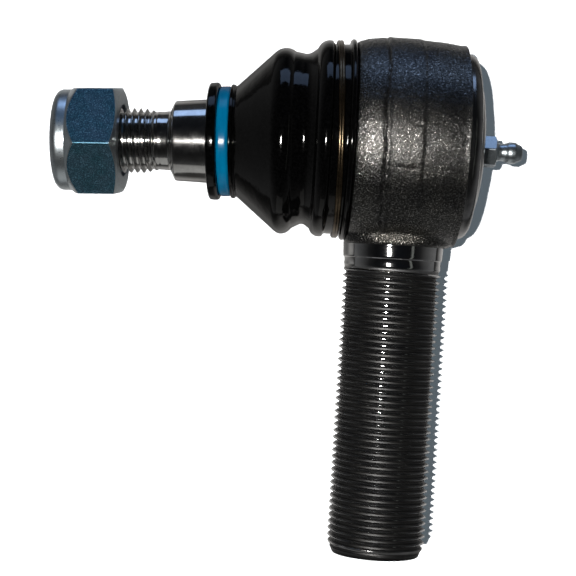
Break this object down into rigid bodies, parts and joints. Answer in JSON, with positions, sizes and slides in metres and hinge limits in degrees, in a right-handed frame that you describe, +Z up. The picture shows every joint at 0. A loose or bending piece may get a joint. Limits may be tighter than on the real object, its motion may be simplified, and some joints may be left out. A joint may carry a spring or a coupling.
{
  "type": "tie rod end",
  "caption": "Heavy-duty steering ball joint: a ball stud with boot and lock nut in a forged socket with a grease nipple and a threaded shank.",
  "frame": {"origin": "centre of the ball, where the stud swings", "axes": "+X along the socket's axis out through the closing cap and grease nipple; -Y along the threaded shank; +Z up as the part lies on a bench"},
  "size_m": [0.1445, 0.1587, 0.0642],
  "materials": {
    "forged_steel": "shot-blasted forging, with a turned and threaded shank",
    "turned_steel": "turned",
    "bright_steel": "bright turned steel",
    "zinc_steel": "clear blue zinc plating",
    "spring_steel": "drawn wire",
    "rubber": "glossy moulded rubber",
    "race_plastic": "moulded",
    "blue_plastic": "glossy",
    "bronze_wire": "oiled spring wire",
    "nylon": "natural"
  },
  "bodies": {
    "housing": {"housing": "forged_steel", "closing_cap": "turned_steel", "cap_seal": "rubber", "grease_nipple": "zinc_steel", "nipple_spring": "spring_steel", "pressure_spring": "spring_steel", "dust_boot": "rubber", "boot_clamp_wire": "bronze_wire"},
    "lower_race": {"lower_race": "race_plastic", "spring_plate": "bright_steel"},
    "check_ball": {"nipple_ball": "bright_steel"},
    "upper_race": {"upper_race": "race_plastic"},
    "boot_neck": {"boot_neck_sleeve": "turned_steel", "boot_ring": "blue_plastic"},
    "stud": {"ball_stud": "bright_steel"},
    "nut_carrier": {"nut_insert": "nylon"},
    "lock_nut": {"lock_nut": "zinc_steel"}
  },
  "joints": [
    {"name": "swing_direction", "type": "hinge", "parent": "housing", "child": "upper_race", "pos_m": [0, 0, 0], "axis": [1, 0, 0], "continuous": true},
    {"name": "stud_swing", "type": "hinge", "parent": "upper_race", "child": "boot_neck", "pos_m": [0, 0, 0], "axis": [0, -0.8192, 0.5736], "range_deg": [-24.5, 15.5], "deforming": ["dust_boot"]},
    {"name": "stud_spin", "type": "hinge", "parent": "boot_neck", "child": "stud", "pos_m": [0, 0, 0], "axis": [0.9969, 0.045, 0.0643], "continuous": true},
    {"name": "nut_travel", "type": "slide", "parent": "stud", "child": "nut_carrier", "axis": [0.9969, 0.045, 0.0643], "range_m": [-0.017, 0.015]},
    {"name": "nut_turn", "type": "hinge", "parent": "nut_carrier", "child": "lock_nut", "pos_m": [-0.09261, -0.00418, -0.00597], "axis": [0.9969, 0.045, 0.0643], "range_deg": [-3060.5, 2700.5]},
    {"name": "race_preload", "type": "slide", "parent": "housing", "child": "lower_race", "axis": [1, 0, 0], "range_m": [0, 0.0006], "stiffness_N_per_m": 20000, "deforming": ["pressure_spring"]},
    {"name": "check_ball", "type": "slide", "parent": "housing", "child": "check_ball", "axis": [-1, 0, 0], "range_m": [0, 0.0008], "stiffness_N_per_m": 300, "deforming": ["nipple_spring"]}
  ],
  "couplings": [
    {"joint": "nut_turn", "follows": "nut_travel", "rad_per_m": 3141.6}
  ]
}
